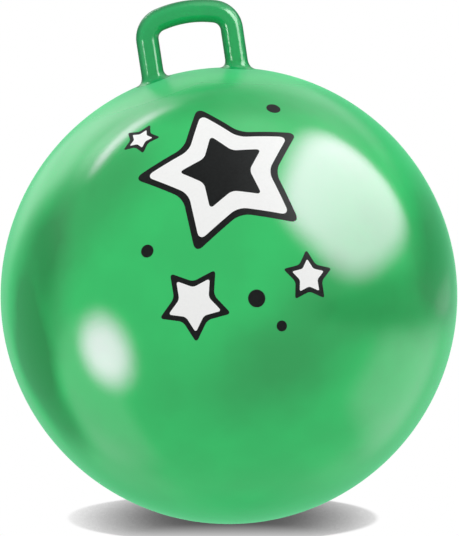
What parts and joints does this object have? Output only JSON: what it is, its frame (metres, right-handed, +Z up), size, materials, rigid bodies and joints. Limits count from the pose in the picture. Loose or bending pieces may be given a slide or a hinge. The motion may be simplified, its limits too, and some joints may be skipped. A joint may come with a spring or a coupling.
{
  "type": "hopper ball",
  "caption": "Inflated vinyl ball with a closed loop handle on top, for a child to sit on, hold and bounce along, with a push-in stopper valve at the back.",
  "frame": {"origin": "middle of the small flat that the ball rests on, at floor level under the ball's centre", "axes": "+Z up from the floor, the decorated front faces -Y, the handle's plane is X-Z and its axis leans 8.5 degrees from +Z towards -X"},
  "size_m": [0.4499, 0.4498, 0.5151],
  "materials": {
    "ball_vinyl": "glossy inflated vinyl skin, mid green",
    "handle_vinyl": "glossy thick vinyl, deeper green",
    "valve_vinyl": "satin soft vinyl, green",
    "stopper_plastic": "smooth hard plastic, white"
  },
  "bodies": {
    "ball": {"ball_shell": "ball_vinyl", "handle": "handle_vinyl", "valve_seat": "valve_vinyl"},
    "stopper": {"valve_stopper": "stopper_plastic"}
  },
  "joints": [
    {"name": "stopper_pull", "type": "slide", "parent": "ball", "child": "stopper", "axis": [-0.095, 0.766, 0.6357], "range_m": [0, 0.03]}
  ]
}
